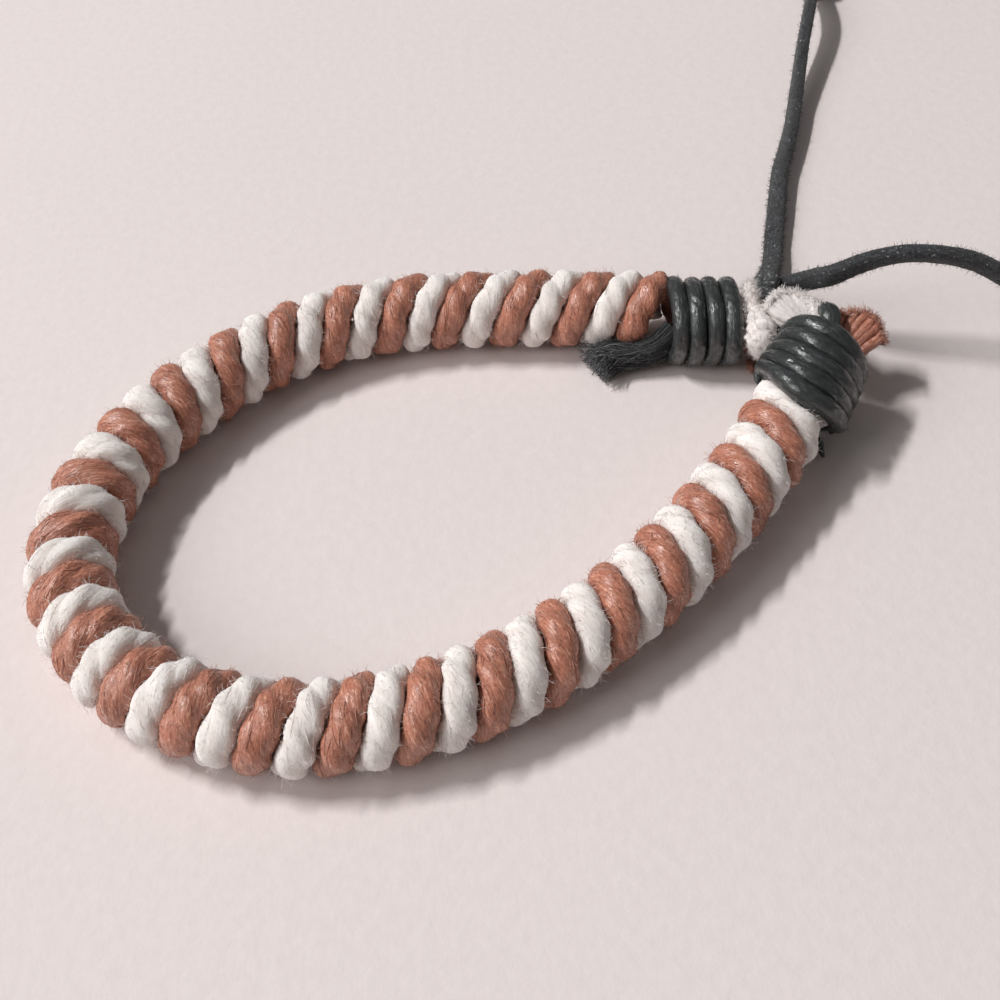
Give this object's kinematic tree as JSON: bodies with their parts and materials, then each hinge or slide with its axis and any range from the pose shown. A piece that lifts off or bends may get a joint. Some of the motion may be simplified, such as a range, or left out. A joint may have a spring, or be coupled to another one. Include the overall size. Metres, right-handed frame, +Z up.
{
  "type": "cord bracelet with lace ties",
  "caption": "Round bracelet wound from white and terracotta cotton cord, with black waxed bindings and two long lace ties.",
  "frame": {"origin": "middle of the loop's footprint on the table, measured without the two free tails", "axes": "+X from the round bend of the loop towards its tied ends, +Y towards the far side, +Z up from the table"},
  "size_m": [0.0917, 0.1045, 0.0108],
  "materials": {
    "white_cotton": "matte",
    "brown_cotton": "satin",
    "waxed_cord": "satin",
    "black_lace": "matte"
  },
  "bodies": {
    "root": {"white_cord": "white_cotton", "brown_cord": "brown_cotton", "left_binding": "waxed_cord", "left_binding_tail": "waxed_cord", "right_binding": "waxed_cord", "left_white_end": "white_cotton", "left_brown_end": "brown_cotton", "right_white_end": "white_cotton", "right_brown_end": "brown_cotton", "lace_knot": "black_lace", "lace_link": "black_lace", "lace_return": "black_lace", "far_tail": "black_lace", "right_tail": "black_lace", "far_tail_knot": "black_lace", "right_tail_knot": "black_lace"}
  },
  "joints": []
}
